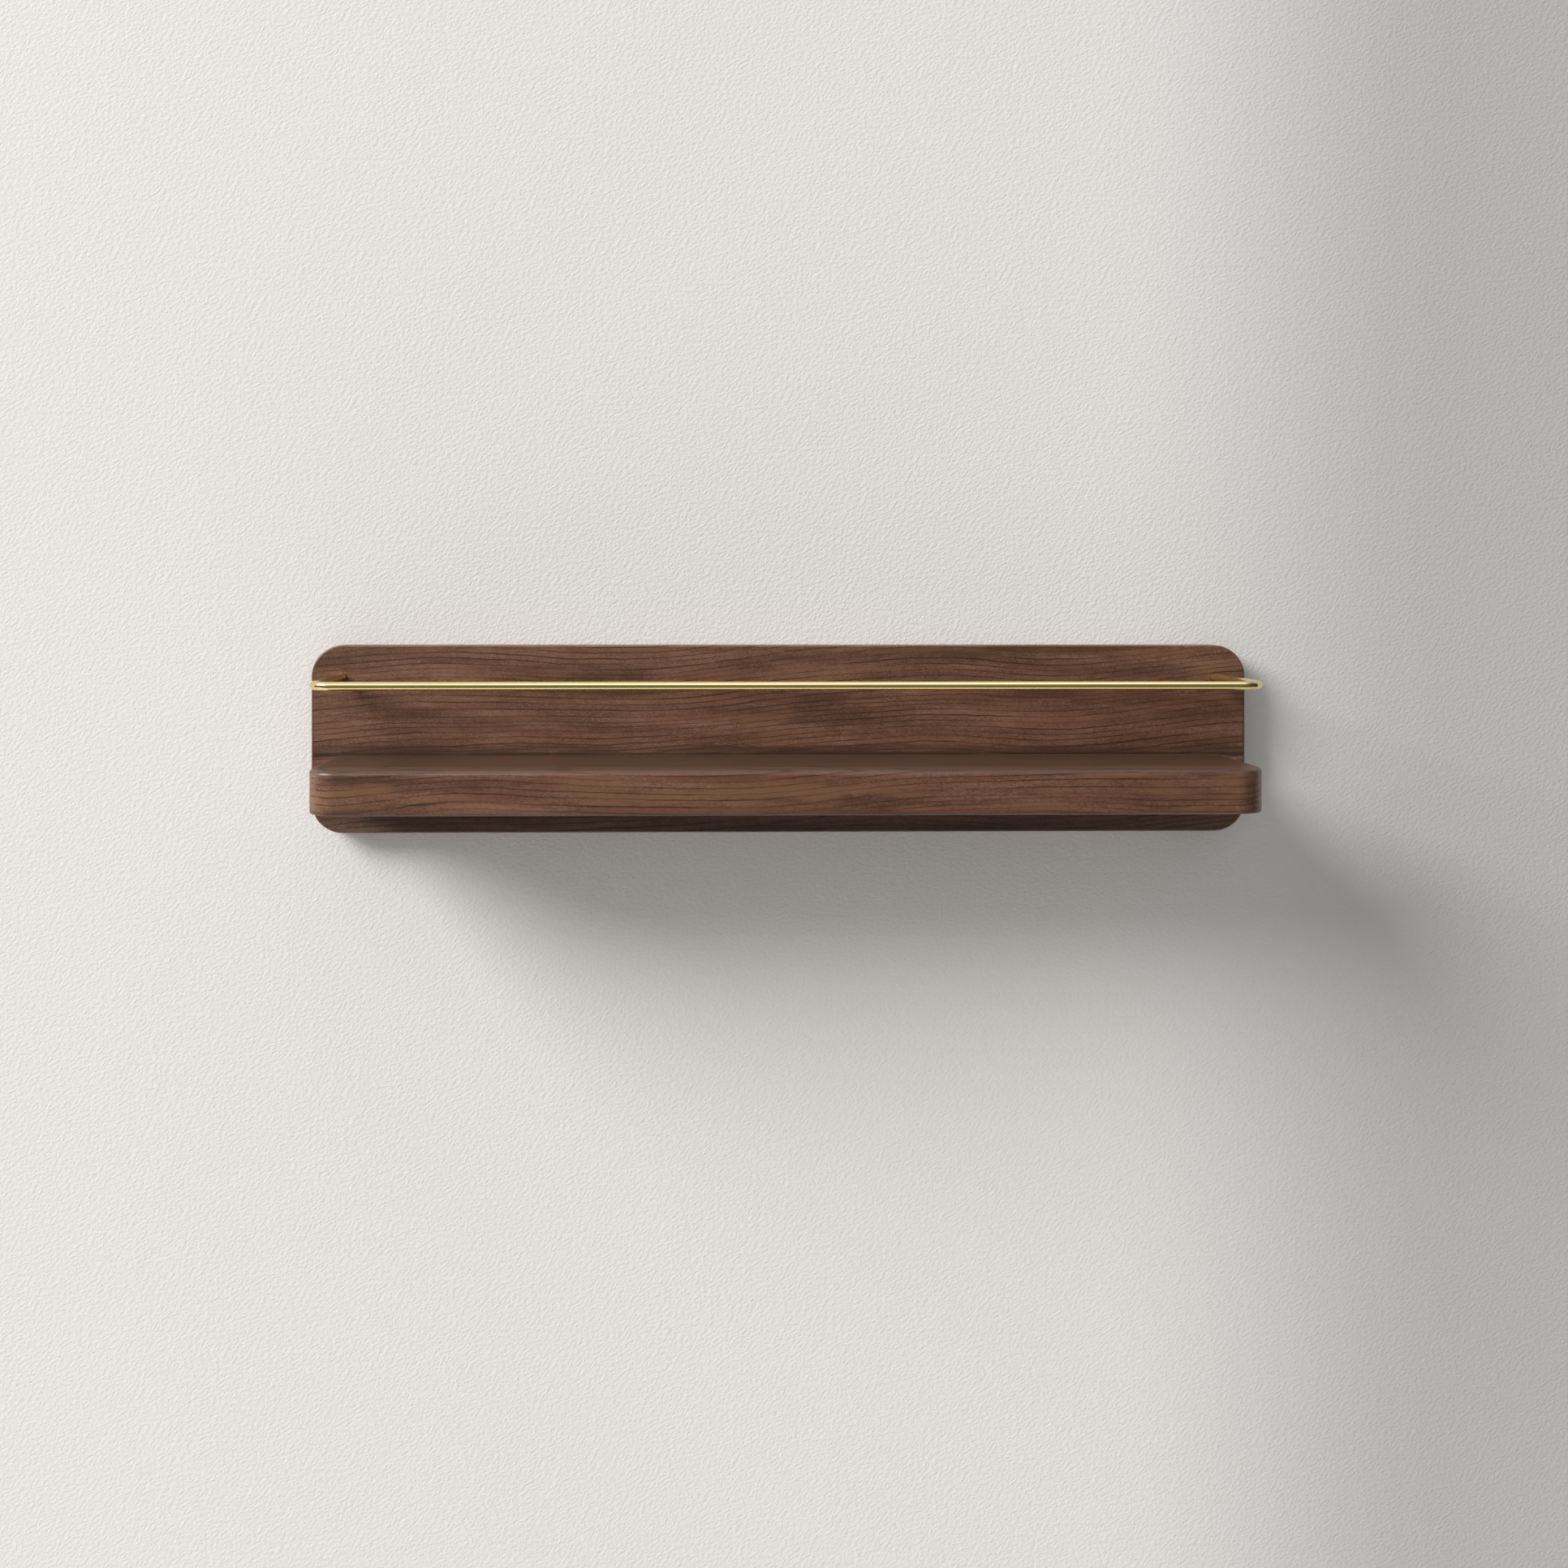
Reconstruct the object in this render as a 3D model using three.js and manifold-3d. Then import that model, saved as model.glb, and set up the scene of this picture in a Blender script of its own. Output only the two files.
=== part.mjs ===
// Wall shelf: a rounded back panel, a ledge board screwed to it from behind, a solid lipping glued
// to the board's front edge, and a brass gallery rail that runs round the front of the ledge.
// Millimetres, +Z up. The origin is the centre of the panel's back face, so the wall is the plane
// Y = 0 and the shelf stands out towards -Y.

import * as THREE from 'three';
import { mergeVertices } from 'three/addons/utils/BufferGeometryUtils.js';
import Module from 'manifold-3d';

// Back panel
const PANEL_WIDTH = 600;
const PANEL_HEIGHT = 120;
const PANEL_THICKNESS = 18;
const PANEL_CORNER = 20;
const PANEL_EDGE = 1;

// Ledge, measured from the panel: the board at the back and its lipping at the front
const LEDGE_LENGTH = 565;
const LEDGE_DEPTH = 102;
const LEDGE_THICKNESS = 26;
const LEDGE_TOP_Z = -10;
const LEDGE_CORNER = 18;
const LEDGE_EDGE = 3;
const LIPPING_DEPTH = 25;

// Gallery rail, one rod bent into a U
const RAIL_DIAMETER = 5;
const RAIL_SPACING = 560;
const RAIL_Z = 39.5;
const RAIL_REACH = 98;
const RAIL_BEND = 12;
const RAIL_SEAT_DEPTH = 8;
const RAIL_TAP_DIAMETER = 3.4;
const RAIL_TAP_DEPTH = 12;

// Clearance that is left wherever one piece sits inside another
const FIT = 0.3;

// Screws: head and shank sizes, and how far the head sits below the panel's back face
const LEDGE_SCREW = { head: 8.5, headHeight: 3, shank: 4, length: 42, sunk: 2, recess: 3.6 };
const LEDGE_SCREW_X = [-245, -85, 85, 245];
const RAIL_SCREW = { head: 5.6, headHeight: 2.2, shank: 2.8, length: 14, sunk: 1, recess: 2.4 };
const HANGER_SCREW = { head: 6, headHeight: 1.5, shank: 3, length: 12, sunk: 0.4, recess: 2.4 };
const WASHER = { outer: 9, inner: 3.4, thickness: 0.8 };
const COUNTERBORE_SIDE_GAP = 0.6;

// Wooden dowels that locate the ledge
const DOWEL_DIAMETER = 8;
const DOWEL_IN_PANEL = 10;
const DOWEL_IN_LEDGE = 20;
const DOWEL_CHAMFER = 1;
const DOWEL_X = [-165, 0, 165];

// Keyhole hanger plates let into the back
const HANGER_X = 200;
const HANGER_Z = 20;
const HANGER_PLATE = { width: 22, height: 56, thickness: 1.8, corner: 4 };
const HANGER_SCREW_OFFSET = 22;
const KEYHOLE = { entry: 10, slot: 5, entryZ: -8, slotTopZ: 8 };
const HEAD_POCKET = { width: 13, bottomZ: -14, topZ: 14, depth: 7 };

const ROUND_SIDES = 20;
const ROD_SIDES = 16;
const BEND_STEPS = 7;

const walnut = new THREE.MeshStandardMaterial({ color: 0x5f4030, roughness: 0.5, metalness: 0 });
const brass = new THREE.MeshStandardMaterial({ color: 0xd6b56a, roughness: 0.25, metalness: 1 });
const zincSteel = new THREE.MeshStandardMaterial({ color: 0xb9bcc0, roughness: 0.35, metalness: 1 });
const beech = new THREE.MeshStandardMaterial({ color: 0xc9a77a, roughness: 0.7, metalness: 0 });

const wasm = await Module();
wasm.setup();

// ---------- solids: closed geometry in and out of the boolean library ----------

function toSolid(geometry) {
  const bare = geometry.clone();
  bare.deleteAttribute('normal');
  bare.deleteAttribute('uv');
  const merged = mergeVertices(bare, 1e-4);
  const vertProperties = Float32Array.from(merged.attributes.position.array);
  const triVerts = Uint32Array.from(merged.index.array);
  return new wasm.Manifold(new wasm.Mesh({ numProp: 3, vertProperties, triVerts }));
}

function toGeometry(solid) {
  const mesh = solid.getMesh();
  const geometry = new THREE.BufferGeometry();
  geometry.setAttribute('position', new THREE.BufferAttribute(mesh.vertProperties, 3));
  geometry.setIndex(new THREE.BufferAttribute(mesh.triVerts, 1));
  geometry.computeVertexNormals();
  return geometry;
}

function cutAway(geometry, cutters) {
  let solid = toSolid(geometry);
  for (const cutter of cutters) solid = solid.subtract(toSolid(cutter));
  return toGeometry(solid);
}

// ---------- shared shapes ----------

function roundedRectangle(width, height, corner) {
  const x = width / 2;
  const y = height / 2;
  const shape = new THREE.Shape();
  shape.moveTo(-x + corner, -y);
  shape.lineTo(x - corner, -y);
  shape.absarc(x - corner, -y + corner, corner, -Math.PI / 2, 0);
  shape.lineTo(x, y - corner);
  shape.absarc(x - corner, y - corner, corner, 0, Math.PI / 2);
  shape.lineTo(-x + corner, y);
  shape.absarc(-x + corner, y - corner, corner, Math.PI / 2, Math.PI);
  shape.lineTo(-x, -y + corner);
  shape.absarc(-x + corner, -y + corner, corner, Math.PI, Math.PI * 1.5);
  return shape;
}

// A shape drawn in X and Z, made solid from Y = nearY forward to Y = farY
function plateFacingFront(shape, nearY, farY, curveSegments) {
  const geometry = new THREE.ExtrudeGeometry(shape, {
    depth: nearY - farY,
    bevelEnabled: false,
    curveSegments,
  });
  geometry.rotateX(Math.PI / 2);
  geometry.translate(0, nearY, 0);
  return geometry;
}

// A body of revolution about a line along Y, from a profile of [radius, y] pairs
function turnedAlongY(profile, x, z, sides = ROUND_SIDES) {
  const points = profile.map(([radius, y]) => new THREE.Vector2(radius, y));
  const geometry = new THREE.LatheGeometry(points, sides);
  geometry.translate(x, 0, z);
  return geometry;
}

// A round hole along Y, open at nearY
function roundHole(diameter, nearY, farY, x, z) {
  const radius = diameter / 2;
  return turnedAlongY([[0, farY], [radius, farY], [radius, nearY], [0, nearY]], x, z);
}

function crossRecess(width, depth, faceY, x, z) {
  const blade = 0.9;
  const over = 1;
  const middleY = faceY - depth / 2 + over / 2;
  const flat = new THREE.BoxGeometry(width, depth + over, blade);
  const upright = new THREE.BoxGeometry(blade, depth + over, width);
  flat.translate(x, middleY, z);
  upright.translate(x, middleY, z);
  return [flat, upright];
}

// ---------- places worked out from the sizes above ----------

const panelFrontY = -PANEL_THICKNESS;
const ledgeFrontY = panelFrontY - LEDGE_DEPTH;
const lippingBackY = ledgeFrontY + LIPPING_DEPTH;
const ledgeMiddleZ = LEDGE_TOP_Z - LEDGE_THICKNESS / 2;
const railEndX = RAIL_SPACING / 2;
const railBarY = panelFrontY - RAIL_REACH;
const railEndY = panelFrontY + RAIL_SEAT_DEPTH - FIT;
const past = 1;

const ledgeHeadFloorY = -LEDGE_SCREW.sunk - LEDGE_SCREW.headHeight - FIT;
const railHeadFloorY = -RAIL_SCREW.sunk - RAIL_SCREW.headHeight - WASHER.thickness - 2 * FIT;
const hangerFaceY = -FIT;
const hangerBackY = hangerFaceY - HANGER_PLATE.thickness;
const hangerFloorY = hangerBackY - FIT;
const hangers = [
  { side: 'left', x: -HANGER_X },
  { side: 'right', x: HANGER_X },
];

// ---------- back panel ----------

function panelBlank() {
  const shape = roundedRectangle(PANEL_WIDTH - 2 * PANEL_EDGE, PANEL_HEIGHT - 2 * PANEL_EDGE, PANEL_CORNER - PANEL_EDGE);
  const geometry = new THREE.ExtrudeGeometry(shape, {
    depth: PANEL_THICKNESS - 2 * PANEL_EDGE,
    bevelEnabled: true,
    bevelThickness: PANEL_EDGE,
    bevelSize: PANEL_EDGE,
    bevelSegments: 2,
    curveSegments: 10,
  });
  geometry.rotateX(Math.PI / 2);
  geometry.translate(0, -PANEL_EDGE, 0);
  return geometry;
}

function hangerRecess(x) {
  const outline = roundedRectangle(
    HANGER_PLATE.width + 2 * FIT, HANGER_PLATE.height + 2 * FIT, HANGER_PLATE.corner + FIT);
  const recess = plateFacingFront(outline, past, hangerFloorY, 5);
  recess.translate(x, 0, HANGER_Z);
  return recess;
}

function headPocket(x) {
  const height = HEAD_POCKET.topZ - HEAD_POCKET.bottomZ;
  const outline = roundedRectangle(HEAD_POCKET.width, height, HEAD_POCKET.width / 2 - 0.01);
  const pocket = plateFacingFront(outline, hangerFloorY + past, hangerFloorY - HEAD_POCKET.depth, 6);
  pocket.translate(x, 0, HANGER_Z + (HEAD_POCKET.topZ + HEAD_POCKET.bottomZ) / 2);
  return pocket;
}

function backPanel() {
  const cutters = [];
  for (const x of LEDGE_SCREW_X) {
    cutters.push(roundHole(LEDGE_SCREW.head + 2 * COUNTERBORE_SIDE_GAP, past, ledgeHeadFloorY, x, ledgeMiddleZ));
    cutters.push(roundHole(LEDGE_SCREW.shank + 2 * FIT, past, panelFrontY - past, x, ledgeMiddleZ));
  }
  for (const x of DOWEL_X) {
    cutters.push(roundHole(DOWEL_DIAMETER + 2 * FIT, panelFrontY + DOWEL_IN_PANEL, panelFrontY - past, x, ledgeMiddleZ));
  }
  for (const x of [-railEndX, railEndX]) {
    cutters.push(roundHole(RAIL_DIAMETER + 2 * FIT, panelFrontY + RAIL_SEAT_DEPTH, panelFrontY - past, x, RAIL_Z));
    cutters.push(roundHole(RAIL_SCREW.shank + 2 * FIT, past, panelFrontY, x, RAIL_Z));
    cutters.push(roundHole(WASHER.outer + 2 * COUNTERBORE_SIDE_GAP, past, railHeadFloorY, x, RAIL_Z));
  }
  for (const { x } of hangers) {
    cutters.push(hangerRecess(x));
    cutters.push(headPocket(x));
    for (const dz of [-HANGER_SCREW_OFFSET, HANGER_SCREW_OFFSET]) {
      const pilotFloorY = -HANGER_SCREW.sunk - HANGER_SCREW.length - FIT;
      cutters.push(roundHole(HANGER_SCREW.shank + 2 * FIT, hangerFloorY + past, pilotFloorY, x, HANGER_Z + dz));
    }
  }
  return cutAway(panelBlank(), cutters);
}

// ---------- ledge board and lipping ----------

function ledgeBlank() {
  // Drawn in plan with its back edge behind the panel's front face, which the last cut makes flat
  const halfLength = LEDGE_LENGTH / 2 - LEDGE_EDGE;
  const frontY = ledgeFrontY + LEDGE_EDGE;
  const backY = panelFrontY + 2 * LEDGE_EDGE;
  const corner = LEDGE_CORNER - LEDGE_EDGE;
  const plan = new THREE.Shape();
  plan.moveTo(-halfLength + corner, frontY);
  plan.lineTo(halfLength - corner, frontY);
  plan.absarc(halfLength - corner, frontY + corner, corner, -Math.PI / 2, 0);
  plan.lineTo(halfLength, backY);
  plan.lineTo(-halfLength, backY);
  plan.lineTo(-halfLength, frontY + corner);
  plan.absarc(-halfLength + corner, frontY + corner, corner, Math.PI, Math.PI * 1.5);
  const geometry = new THREE.ExtrudeGeometry(plan, {
    depth: LEDGE_THICKNESS - 2 * LEDGE_EDGE,
    bevelEnabled: true,
    bevelThickness: LEDGE_EDGE,
    bevelSize: LEDGE_EDGE,
    bevelSegments: 3,
    curveSegments: 10,
  });
  geometry.translate(0, 0, LEDGE_TOP_Z - LEDGE_THICKNESS + LEDGE_EDGE);
  return geometry;
}

// A block that takes away all of the ledge between two planes across its depth
function ledgeCutter(nearY, farY) {
  const block = new THREE.BoxGeometry(LEDGE_LENGTH + 20, nearY - farY, LEDGE_THICKNESS + 20);
  block.translate(0, (nearY + farY) / 2, ledgeMiddleZ);
  return block;
}

function ledgeLipping() {
  return cutAway(ledgeBlank(), [ledgeCutter(0, lippingBackY)]);
}

function ledgeBoard() {
  const cutters = [ledgeCutter(0, panelFrontY), ledgeCutter(lippingBackY, ledgeFrontY - past)];
  for (const x of LEDGE_SCREW_X) {
    const pilotFloorY = -LEDGE_SCREW.sunk - LEDGE_SCREW.headHeight - LEDGE_SCREW.length - FIT;
    cutters.push(roundHole(LEDGE_SCREW.shank + 2 * FIT, panelFrontY + past, pilotFloorY, x, ledgeMiddleZ));
  }
  for (const x of DOWEL_X) {
    cutters.push(roundHole(DOWEL_DIAMETER + 2 * FIT, panelFrontY + past, panelFrontY - DOWEL_IN_LEDGE, x, ledgeMiddleZ));
  }
  return cutAway(ledgeBlank(), cutters);
}

// ---------- gallery rail ----------

// A path given by its own stations, so that straight runs take one step and bends take several
class StationPath extends THREE.Curve {
  constructor(stations) {
    super();
    this.stations = stations;
  }

  station(u) {
    return this.stations[Math.round(u * (this.stations.length - 1))];
  }

  getPointAt(u, target = new THREE.Vector3()) {
    return target.copy(this.station(u).point);
  }

  getTangentAt(u, target = new THREE.Vector3()) {
    return target.copy(this.station(u).tangent);
  }
}

function railStations() {
  const stations = [];
  const straightX = railEndX - RAIL_BEND;
  const straightY = railBarY + RAIL_BEND;
  const add = (x, y, angle) => stations.push({
    point: new THREE.Vector3(x, y, RAIL_Z),
    tangent: new THREE.Vector3(Math.cos(angle), Math.sin(angle), 0),
  });
  add(-railEndX, railEndY, -Math.PI / 2);
  for (let i = 0; i <= BEND_STEPS; i += 1) {
    const turn = (i / BEND_STEPS) * (Math.PI / 2);
    add(-straightX - RAIL_BEND * Math.cos(turn), straightY - RAIL_BEND * Math.sin(turn), turn - Math.PI / 2);
  }
  for (let i = 0; i <= BEND_STEPS; i += 1) {
    const turn = (i / BEND_STEPS) * (Math.PI / 2);
    add(straightX + RAIL_BEND * Math.sin(turn), straightY - RAIL_BEND * Math.cos(turn), turn);
  }
  add(railEndX, railEndY, Math.PI / 2);
  return stations;
}

function galleryRail() {
  const stations = railStations();
  const section = new THREE.Shape();
  section.absarc(0, 0, RAIL_DIAMETER / 2, 0, Math.PI * 2);
  const rod = new THREE.ExtrudeGeometry(section, {
    extrudePath: new StationPath(stations),
    steps: stations.length - 1,
    curveSegments: ROD_SIDES,
  });
  const taps = [-railEndX, railEndX].map((x) => roundHole(
    RAIL_TAP_DIAMETER, railEndY + past, railEndY - RAIL_TAP_DEPTH, x, RAIL_Z));
  return cutAway(rod, taps);
}

// ---------- fasteners ----------

function panHeadScrew(size, x, z) {
  const topY = -size.sunk;
  const underHeadY = topY - size.headHeight;
  const tipY = underHeadY - size.length;
  const head = size.head / 2;
  const shank = size.shank / 2;
  const screw = turnedAlongY([
    [0, tipY],
    [shank * 0.2, tipY],
    [shank, tipY + size.shank],
    [shank, underHeadY],
    [head, underHeadY],
    [head, topY - size.headHeight * 0.45],
    [head * 0.86, topY - size.headHeight * 0.12],
    [head * 0.62, topY],
    [0, topY],
  ], x, z);
  return cutAway(screw, crossRecess(size.recess, size.headHeight * 0.6, topY, x, z));
}

function countersunkScrew(size, x, z) {
  const topY = -size.sunk;
  const tipY = topY - size.length;
  const shank = size.shank / 2;
  const screw = turnedAlongY([
    [0, tipY],
    [shank * 0.2, tipY],
    [shank, tipY + size.shank],
    [shank, topY - size.headHeight],
    [size.head / 2, topY],
    [0, topY],
  ], x, z);
  return cutAway(screw, crossRecess(size.recess, size.headHeight * 0.7, topY, x, z));
}

function railWasher(x) {
  const topY = -RAIL_SCREW.sunk - RAIL_SCREW.headHeight - FIT;
  const lowY = topY - WASHER.thickness;
  const outer = WASHER.outer / 2;
  const inner = WASHER.inner / 2;
  return turnedAlongY([[inner, lowY], [outer, lowY], [outer, topY], [inner, topY], [inner, lowY]], x, RAIL_Z);
}

function dowel(x) {
  const radius = DOWEL_DIAMETER / 2;
  const nearY = panelFrontY + DOWEL_IN_PANEL - FIT;
  const farY = panelFrontY - DOWEL_IN_LEDGE + FIT;
  return turnedAlongY([
    [0, farY],
    [radius - DOWEL_CHAMFER, farY],
    [radius, farY + DOWEL_CHAMFER],
    [radius, nearY - DOWEL_CHAMFER],
    [radius - DOWEL_CHAMFER, nearY],
    [0, nearY],
  ], x, ledgeMiddleZ);
}

// ---------- keyhole hanger plates ----------

// The round entry and the narrower slot above it, as one outline
function keyholeOutline() {
  const entry = KEYHOLE.entry / 2;
  const slot = KEYHOLE.slot / 2;
  const meet = Math.asin(slot / entry);
  const outline = new THREE.Shape();
  outline.absarc(0, KEYHOLE.entryZ, entry, Math.PI / 2 + meet, Math.PI * 2.5 - meet);
  outline.lineTo(slot, KEYHOLE.slotTopZ);
  outline.absarc(0, KEYHOLE.slotTopZ, slot, 0, Math.PI);
  return outline;
}

function hangerPlate(x) {
  const outline = roundedRectangle(HANGER_PLATE.width, HANGER_PLATE.height, HANGER_PLATE.corner);
  const plate = plateFacingFront(outline, hangerFaceY, hangerBackY, 5);
  const keyhole = plateFacingFront(keyholeOutline(), hangerFaceY + past, hangerBackY - past, 12);
  const cutters = [keyhole];
  for (const dz of [-HANGER_SCREW_OFFSET, HANGER_SCREW_OFFSET]) {
    const topY = -HANGER_SCREW.sunk;
    const head = HANGER_SCREW.head / 2 + 2 * FIT;
    const shank = HANGER_SCREW.shank / 2 + FIT;
    cutters.push(turnedAlongY([
      [0, hangerBackY - past],
      [shank, hangerBackY - past],
      [shank, topY - HANGER_SCREW.headHeight],
      [head, topY],
      [head, past],
      [0, past],
    ], 0, dz));
  }
  const geometry = cutAway(plate, cutters);
  geometry.translate(x, 0, HANGER_Z);
  return geometry;
}

// ---------- assembly ----------

const shelf = new THREE.Group();
shelf.name = 'wall_shelf';

function add(name, geometry, material) {
  const mesh = new THREE.Mesh(geometry, material);
  mesh.name = name;
  shelf.add(mesh);
}

add('back_panel', backPanel(), walnut);
add('ledge_board', ledgeBoard(), walnut);
add('ledge_lipping', ledgeLipping(), walnut);
add('gallery_rail', galleryRail(), brass);

LEDGE_SCREW_X.forEach((x, i) => {
  add(`ledge_screw_${i + 1}`, panHeadScrew(LEDGE_SCREW, x, ledgeMiddleZ), zincSteel);
});
DOWEL_X.forEach((x, i) => {
  add(`dowel_${i + 1}`, dowel(x), beech);
});
for (const [side, x] of [['left', -railEndX], ['right', railEndX]]) {
  add(`rail_screw_${side}`, panHeadScrew(RAIL_SCREW, x, RAIL_Z), zincSteel);
  add(`rail_washer_${side}`, railWasher(x), zincSteel);
}
for (const { side, x } of hangers) {
  add(`hanger_plate_${side}`, hangerPlate(x), zincSteel);
  add(`hanger_screw_${side}_upper`, countersunkScrew(HANGER_SCREW, x, HANGER_Z + HANGER_SCREW_OFFSET), zincSteel);
  add(`hanger_screw_${side}_lower`, countersunkScrew(HANGER_SCREW, x, HANGER_Z - HANGER_SCREW_OFFSET), zincSteel);
}

export default shelf;
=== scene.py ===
import math

import bmesh
import bpy
from mathutils import Matrix, Vector


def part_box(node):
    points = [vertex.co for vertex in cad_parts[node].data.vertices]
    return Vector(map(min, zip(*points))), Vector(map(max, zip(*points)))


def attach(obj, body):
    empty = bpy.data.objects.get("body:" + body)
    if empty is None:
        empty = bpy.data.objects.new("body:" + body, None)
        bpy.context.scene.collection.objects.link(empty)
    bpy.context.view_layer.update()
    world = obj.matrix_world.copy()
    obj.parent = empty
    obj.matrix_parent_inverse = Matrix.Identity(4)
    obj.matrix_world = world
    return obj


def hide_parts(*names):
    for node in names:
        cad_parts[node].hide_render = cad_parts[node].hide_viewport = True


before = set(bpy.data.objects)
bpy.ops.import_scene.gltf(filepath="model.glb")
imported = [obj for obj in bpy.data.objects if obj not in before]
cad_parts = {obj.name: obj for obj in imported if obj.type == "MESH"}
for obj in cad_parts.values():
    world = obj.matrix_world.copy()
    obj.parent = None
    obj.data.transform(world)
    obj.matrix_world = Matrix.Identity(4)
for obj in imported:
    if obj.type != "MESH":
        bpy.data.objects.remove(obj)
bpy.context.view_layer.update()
mm = 0.001
clearance = 0.3 * mm  # the gap left round every fixing
past = 1 * mm  # how far a cutter stands out of what it cuts
print("frame loaded:", len(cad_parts), "nodes")

panelLow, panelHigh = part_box("back_panel")
boardLow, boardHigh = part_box("ledge_board")
lippingLow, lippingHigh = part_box("ledge_lipping")
railLow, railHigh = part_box("gallery_rail")


def nodesNamed(start):
    return sorted(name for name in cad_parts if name.startswith(start))


def nodeCentre(node):
    low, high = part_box(node)
    return (low + high) / 2


# Camera

camera = {
    "place": (-57.4, -1137.7, 97.4),  # mm
    "turn": -1.4,  # degrees to the right
    "roll": -0.04,
    "lens": 40.07,
    "sensor": 36,
    "shift": (0.0316, -0.1256),
    "sees": (0.05, 30),  # metres, nearest and farthest
}


def makeCamera():
    data = bpy.data.cameras.new("camera")
    data.lens = camera["lens"]
    data.sensor_width = camera["sensor"]
    data.shift_x, data.shift_y = camera["shift"]
    data.clip_start, data.clip_end = camera["sees"]
    obj = bpy.data.objects.new("camera", data)
    obj.location = Vector(camera["place"]) * mm
    angles = (90, camera["roll"], camera["turn"])
    obj.rotation_euler = [math.radians(angle) for angle in angles]
    bpy.context.scene.collection.objects.link(obj)
    bpy.context.scene.camera = obj


makeCamera()
bpy.context.scene.view_settings.view_transform = "Standard"
print("camera placed")


# Shader nodes, written as sums

def linear(red, green, blue):
    def channel(value):
        value = value / 255
        return value / 12.92 if value <= 0.04045 else ((value + 0.055) / 1.055) ** 2.4

    return (channel(red), channel(green), channel(blue), 1.0)


class Signal:
    def __init__(self, paint, socket):
        self.paint = paint
        self.socket = socket

    def maths(self, operation, *values):
        sockets = dict(enumerate(values))
        return self.paint.node("ShaderNodeMath", {"operation": operation}, sockets)

    def __add__(self, other):
        return self.maths("ADD", self, other)

    def __radd__(self, other):
        return self.maths("ADD", other, self)

    def __sub__(self, other):
        return self.maths("SUBTRACT", self, other)

    def __rsub__(self, other):
        return self.maths("SUBTRACT", other, self)

    def __mul__(self, other):
        return self.maths("MULTIPLY", self, other)

    def __rmul__(self, other):
        return self.maths("MULTIPLY", other, self)

    def __truediv__(self, other):
        return self.maths("DIVIDE", self, other)

    def __pow__(self, other):
        return self.maths("POWER", self, other)

    def root(self):
        return self.maths("SQRT", self)

    def fraction(self):
        return self.maths("FRACT", self)

    def size(self):
        return self.maths("ABSOLUTE", self)

    def wave(self):
        return self.maths("SINE", self)

    def step(self, low, high):  # smooth 0 to 1 between low and high
        settings = {"interpolation_type": "SMOOTHSTEP"}
        sockets = {"Value": self, "From Min": low, "From Max": high}
        return self.paint.node("ShaderNodeMapRange", settings, sockets)


class Paint:
    def __init__(self, name, owner=None):
        self.owner = owner or bpy.data.materials.new(name)
        self.owner.use_nodes = True
        self.tree = self.owner.node_tree
        self.tree.nodes.clear()

    def node(self, kind, settings=None, sockets=None, output=0):
        made = self.tree.nodes.new(kind)
        for key, value in (settings or {}).items():
            if key == "stops":
                self.setStops(made.color_ramp, value)
            else:
                setattr(made, key, value)
        for key, value in (sockets or {}).items():
            if isinstance(value, Signal):
                self.tree.links.new(value.socket, made.inputs[key])
            else:
                made.inputs[key].default_value = value
        return Signal(self, made.outputs[output]) if len(made.outputs) else made

    def setStops(self, ramp, stops):
        while len(ramp.elements) < len(stops):
            ramp.elements.new(1)
        for element, (place, colour) in zip(ramp.elements, stops):
            element.position = place
            element.color = colour

    def place(self):  # object coordinates in millimetres
        coordinates = self.node("ShaderNodeTexCoord", output="Object")
        split = self.node("ShaderNodeSeparateXYZ", sockets={0: coordinates}).socket.node
        return [Signal(self, split.outputs[axis]) * 1000 for axis in range(3)]

    def vector(self, x, y, z):
        return self.node("ShaderNodeCombineXYZ", sockets={0: x, 1: y, 2: z})

    def noise(self, vector, detail=2.0, roughness=0.5):
        sockets = {"Vector": vector, "Scale": 1.0, "Detail": detail, "Roughness": roughness}
        return self.node("ShaderNodeTexNoise", sockets=sockets)

    def mix(self, factor, first, second):
        settings = {"data_type": "RGBA"}
        return self.node("ShaderNodeMix", settings, {0: factor, 6: first, 7: second}, output=2)

    def bump(self, height, distance, strength):
        sockets = {"Height": height, "Distance": distance, "Strength": strength}
        return self.node("ShaderNodeBump", sockets=sockets)

    def principled(self, **sockets):
        named = {key.replace("_", " "): value for key, value in sockets.items()}
        shader = self.node("ShaderNodeBsdfPrincipled", sockets=named)
        return self.surface(shader)

    def surface(self, shader):
        isWorld = isinstance(self.owner, bpy.types.World)
        kind = "ShaderNodeOutputWorld" if isWorld else "ShaderNodeOutputMaterial"
        self.node(kind, sockets={"Surface": shader})
        return self.owner


# Walnut: growth rings are tubes round a pith line that runs along X, so the same wood shows long
# lines on the faces and arcs on the ends

walnutPanel = {
    "pith": (60, -330),  # mm, across the board: Y and Z
    "spacing": 3.5,
    "rise": 0.045,
    "swing": 2.9,  # mm
    "swingLength": 47,  # mm, the length of one wave over 2 pi
    "wander": 13,
    "ripple": 2.2,
    "seed": 3.7,
    "low": linear(84, 54, 38),
    "middle": linear(109, 73, 54),
    "high": linear(134, 96, 74),
    "red": linear(116, 69, 51),
    "tan": linear(124, 86, 59),
    "golden": 0.55,  # strength of the tan patches
    "line": linear(38, 23, 16),
    "streak": (-7.6, 3.4),  # mm: height of the dark streak, and half its width
    "streakTone": linear(58, 35, 22),
    # colour of the painted shade on the panel below the ledge
    "shadeBelowLedgeTone": linear(60, 49, 43),
    "paintedTopShade": None,
    "endsAt": 299.0,  # mm from the middle, where the end grain starts
}
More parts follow.
